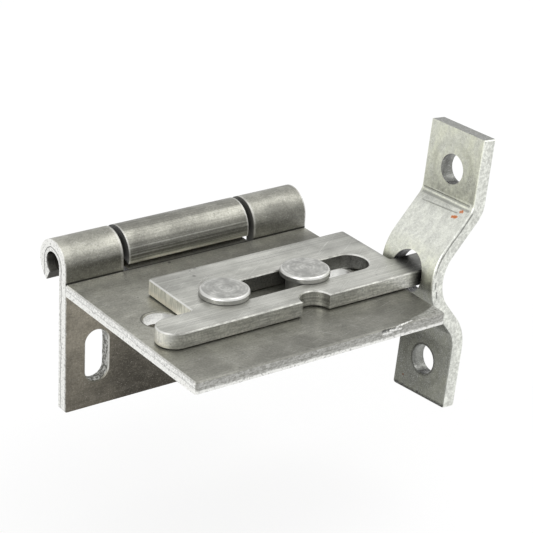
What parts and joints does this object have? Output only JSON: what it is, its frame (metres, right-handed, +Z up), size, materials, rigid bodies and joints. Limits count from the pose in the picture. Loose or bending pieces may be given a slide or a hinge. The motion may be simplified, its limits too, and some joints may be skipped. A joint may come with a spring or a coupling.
{
  "type": "flip lock",
  "caption": "Steel flip lock: a slotted mounting leaf hinged to a flap with a sliding bolt, whose nose enters the bent keeper beside it.",
  "frame": {"origin": "on the leaf's back (mounting) face, midway between the centres of its two slots", "axes": "+X along the hinge towards the keeper, +Y out of the mounting face, away from the flap, +Z up"},
  "size_m": [0.0914, 0.0682, 0.0705],
  "materials": {
    "sheet_steel": "plain rolled sheet, dull",
    "pin_steel": "drawn rod, dull",
    "bar_steel": "cold-drawn flat bar, satin",
    "rivet_steel": "turned, satin",
    "zinc_plate": "zinc plated, mottled, with rust specks"
  },
  "bodies": {
    "leaf": {"leaf": "sheet_steel", "hinge_pin": "pin_steel"},
    "flap": {"flap_plate": "sheet_steel", "rivet_left": "rivet_steel", "rivet_right": "rivet_steel", "keeper": "zinc_plate"},
    "bolt": {"bolt": "bar_steel"}
  },
  "joints": [
    {"name": "flap_hinge", "type": "hinge", "parent": "leaf", "child": "flap", "pos_m": [0, 0.00305, 0.02415], "axis": [-1, 0, 0], "range_deg": [0, 270]},
    {"name": "bolt_slide", "type": "slide", "parent": "flap", "child": "bolt", "axis": [-1, 0, 0], "range_m": [0, 0.0135]}
  ]
}
